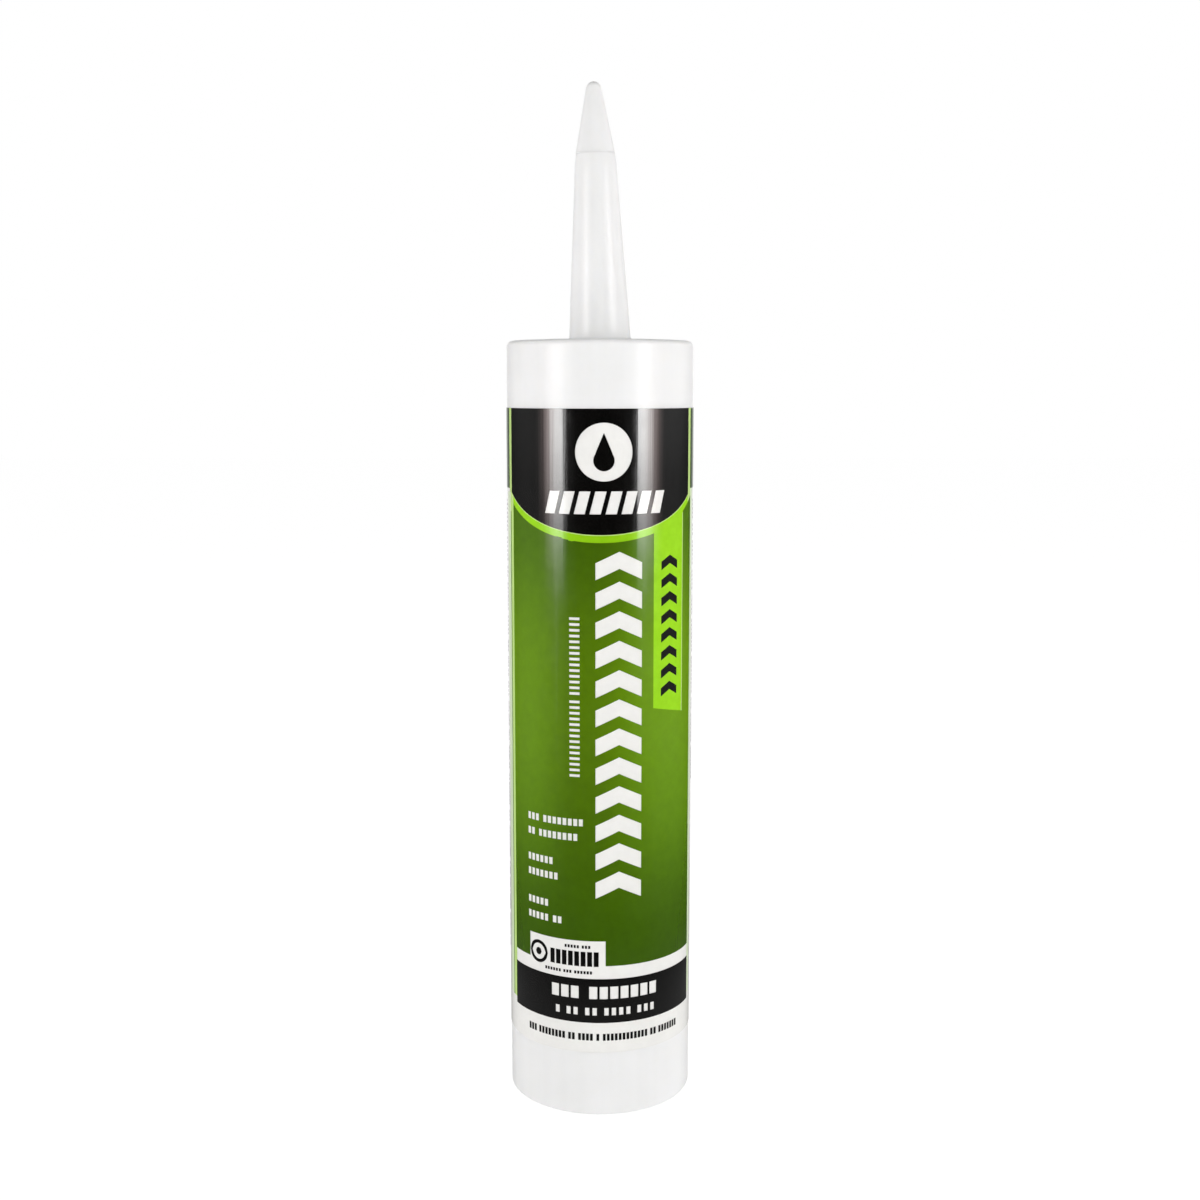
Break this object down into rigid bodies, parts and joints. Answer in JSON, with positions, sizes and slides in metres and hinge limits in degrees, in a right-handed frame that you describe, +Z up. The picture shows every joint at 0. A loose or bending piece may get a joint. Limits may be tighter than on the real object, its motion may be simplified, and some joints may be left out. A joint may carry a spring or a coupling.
{
  "type": "construction adhesive cartridge",
  "caption": "Caulking-gun cartridge for construction adhesive: white barrel with a long closed nozzle, printed film label, paste filling and a sliding plunger in its open rear end.",
  "frame": {"origin": "centre of the rear rim, on the surface that the cartridge stands on", "axes": "+Z up the barrel to the nozzle, -Y the front of the label, +X to the label's right"},
  "size_m": [0.05, 0.05, 0.2715],
  "materials": {
    "white_plastic": "satin",
    "plunger_plastic": "satin",
    "adhesive_paste": "satin",
    "label_white": "gloss",
    "label_black": "gloss",
    "label_green": "gloss",
    "label_lime": "gloss",
    "label_dark_green": "gloss"
  },
  "bodies": {
    "cartridge": {"cartridge_body": "white_plastic", "adhesive": "adhesive_paste", "label_film": "label_white", "print_black": "label_black", "print_green": "label_green", "print_lime": "label_lime", "print_dark_green": "label_dark_green"},
    "plunger": {"plunger": "plunger_plastic"}
  },
  "joints": [
    {"name": "plunger_slide", "type": "slide", "parent": "cartridge", "child": "plunger", "axis": [0, 0, 1], "range_m": [0, 0.171], "deforming": ["adhesive"]}
  ]
}
